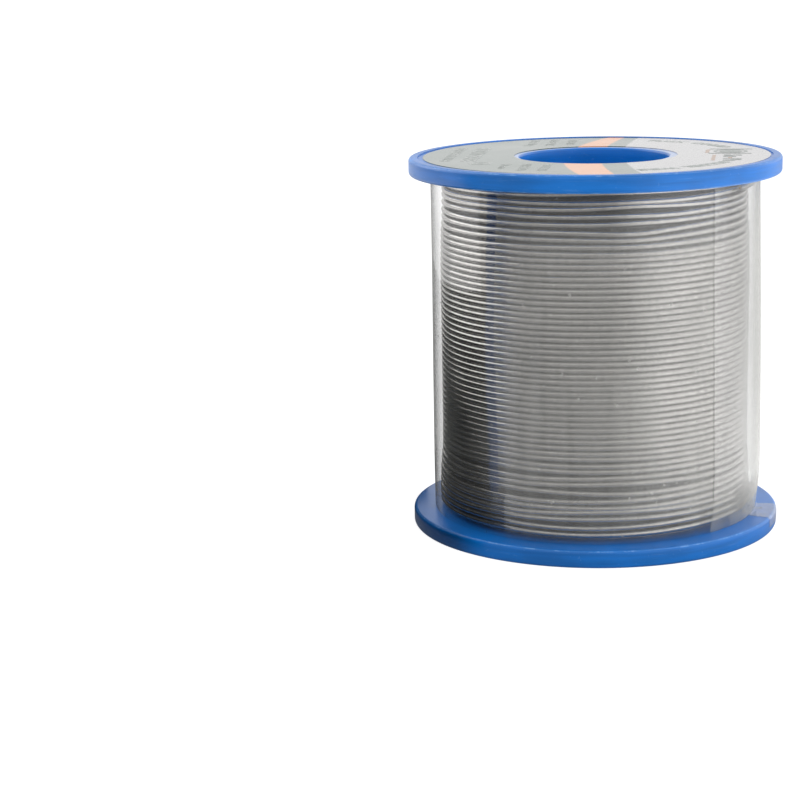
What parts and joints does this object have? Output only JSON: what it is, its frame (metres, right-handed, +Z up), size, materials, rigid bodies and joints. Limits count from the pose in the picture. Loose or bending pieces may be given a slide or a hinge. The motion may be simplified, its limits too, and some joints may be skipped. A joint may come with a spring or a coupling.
{
  "type": "solder wire spool",
  "caption": "Cylindrical spool of flux-cored solder wire with a through bore for a spindle and flat flanges to stand on.",
  "frame": {"origin": "middle of the rest face, the outer face of the bottom flange", "axes": "+Z up along the spool's axis through the bore, towards the labelled flange; -Y towards the front of the label"},
  "size_m": [0.065, 0.065, 0.0657],
  "materials": {
    "blue_plastic": "injection-moulded blue plastic, satin gloss",
    "solder_alloy": "bright drawn tin-lead solder wire, slightly dulled",
    "flux_rosin": "hard amber rosin flux",
    "printed_paper": "silver-grey label stock printed dark green and orange, gloss laminated",
    "clear_film": "thin clear plastic film, glossy, faintly creased"
  },
  "bodies": {
    "root": {"top_flange": "blue_plastic", "bottom_flange": "blue_plastic", "core_tube": "blue_plastic", "wire_inner_winding": "solder_alloy", "wire_under_layer": "solder_alloy", "wire_outer_layer": "solder_alloy", "wire_start_tail": "solder_alloy", "wire_start_flux": "flux_rosin", "wire_end": "solder_alloy", "wire_end_flux": "flux_rosin", "face_label": "printed_paper", "clear_wrap": "clear_film", "wrap_tail": "clear_film"}
  },
  "joints": []
}
